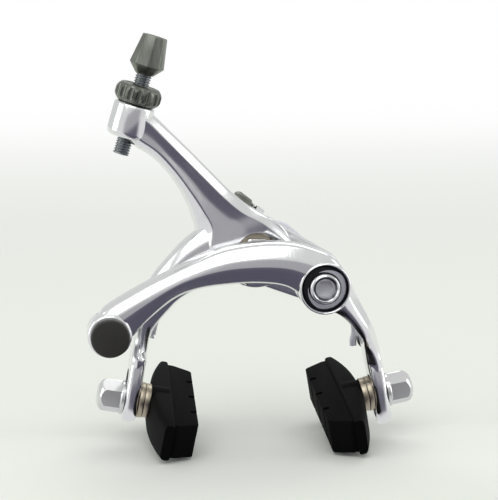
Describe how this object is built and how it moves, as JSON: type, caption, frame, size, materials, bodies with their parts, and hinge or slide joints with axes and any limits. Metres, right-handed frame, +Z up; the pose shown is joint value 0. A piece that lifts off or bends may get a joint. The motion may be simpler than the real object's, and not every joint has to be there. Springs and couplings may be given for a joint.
{
  "type": "caliper brake",
  "caption": "Dual pivot side-pull rim brake caliper in polished alloy, with cable adjuster, return spring and brake pads on slotted limbs.",
  "frame": {"origin": "centre bolt's axis, at the washer face that meets the fork or frame", "axes": "+X to the right seen from the front, +Y backward along the centre bolt towards the fork, +Z up, so the caliper's front faces -Y"},
  "size_m": [0.1036, 0.0668, 0.1285],
  "materials": {
    "polished_arms": "polished",
    "bolt_steel": "plated",
    "chrome_nuts": "bright",
    "washer_steel": "satin",
    "bronze": "satin",
    "dark_plastic": "smooth",
    "dark_alloy": "dark anodised",
    "barrel_steel": "threaded",
    "holder_black": "semi-matt black",
    "pad_rubber": "matt"
  },
  "bodies": {
    "frame": {"bridge": "polished_arms", "center_bolt": "bolt_steel", "mounting_washer": "dark_plastic", "center_thrust_washer": "bronze", "center_front_washer": "bronze", "center_nut": "chrome_nuts", "center_lock_nut": "chrome_nuts", "side_pivot_bolt": "bolt_steel", "side_pivot_washer": "washer_steel", "side_thrust_washer": "bronze", "centring_screw": "dark_alloy", "return_spring": "washer_steel"},
    "rear_arm": {"rear_arm": "polished_arms", "rear_arm_bush": "bronze", "left_spring_slider": "dark_plastic", "left_pad_holder": "holder_black", "left_pad": "pad_rubber", "left_pad_bolt": "bolt_steel", "left_domed_washer": "bronze", "left_hollow_washer": "bronze", "left_pad_nut": "chrome_nuts"},
    "front_arm": {"front_arm": "polished_arms", "front_arm_bush": "bronze", "right_spring_slider": "dark_plastic", "right_pad_holder": "holder_black", "right_pad": "pad_rubber", "right_pad_bolt": "bolt_steel", "right_domed_washer": "bronze", "right_hollow_washer": "bronze", "right_pad_nut": "chrome_nuts", "cable_anchor_cap": "dark_plastic", "cable_anchor_bolt": "bolt_steel", "cable_clamp_washer": "washer_steel", "cable_anchor_nut": "chrome_nuts"},
    "adjuster_ring": {"adjuster_ring": "dark_alloy"},
    "adjuster_barrel": {"adjuster_barrel": "barrel_steel", "adjuster_cap": "dark_alloy"}
  },
  "joints": [
    {"name": "rear_arm_pivot", "type": "hinge", "parent": "frame", "child": "rear_arm", "pos_m": [0, -0.0165, 0], "axis": [0, -1, 0], "range_deg": [0, 12], "stiffness_Nm_per_rad": 0.6, "springref_deg": -28.65, "deforming": ["return_spring"]},
    {"name": "front_arm_pivot", "type": "hinge", "parent": "frame", "child": "front_arm", "pos_m": [0.0196, -0.0288, -0.0093], "axis": [0, 1, 0], "range_deg": [0, 15.2]},
    {"name": "adjuster_ring_turn", "type": "hinge", "parent": "rear_arm", "child": "adjuster_ring", "pos_m": [-0.03629, -0.0184, 0.04947], "axis": [0.2924, 0, 0.9563], "range_deg": [-2250.1, 1350.1]},
    {"name": "adjuster_barrel_slide", "type": "slide", "parent": "rear_arm", "child": "adjuster_barrel", "axis": [0.2924, 0, 0.9563], "range_m": [-0.003, 0.005]}
  ],
  "couplings": [
    {"joint": "front_arm_pivot", "follows": "rear_arm_pivot", "ratio": 1.2527},
    {"joint": "adjuster_ring_turn", "follows": "adjuster_barrel_slide", "rad_per_m": -7854}
  ]
}
